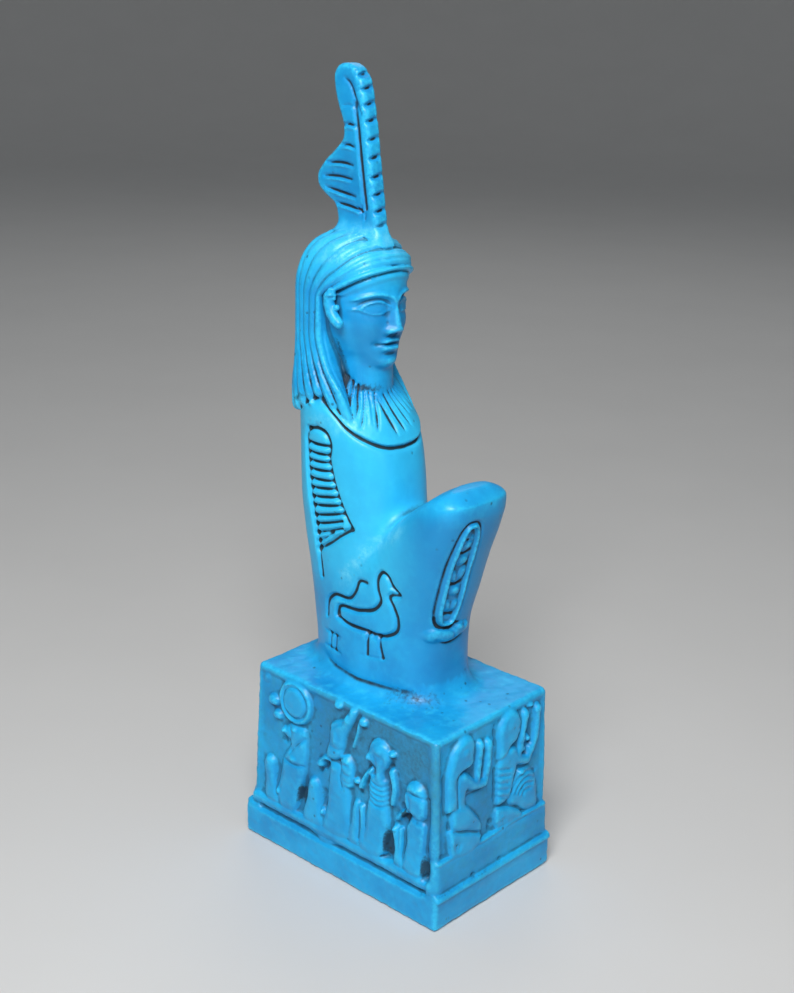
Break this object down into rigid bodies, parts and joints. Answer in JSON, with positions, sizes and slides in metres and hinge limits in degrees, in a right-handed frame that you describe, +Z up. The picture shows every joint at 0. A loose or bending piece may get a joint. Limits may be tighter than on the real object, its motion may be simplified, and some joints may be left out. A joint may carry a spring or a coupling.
{
  "type": "seated feather-crowned goddess figurine",
  "caption": "Cast souvenir figurine: a squatting goddess with a long wig and one tall feather, wrapped in a plain robe, on a tapered block with relief figures and a foot slab.",
  "frame": {"origin": "centre of the underside of the foot slab", "axes": "+Z up, the figure looks along -Y, its left hand is on +X"},
  "size_m": [0.0344, 0.052, 0.1528],
  "materials": {
    "turquoise_cast": "satin turquoise coating over a solid casting, dark wash left in the grooves"
  },
  "bodies": {
    "root": {"maat_statue": "turquoise_cast"}
  },
  "joints": []
}
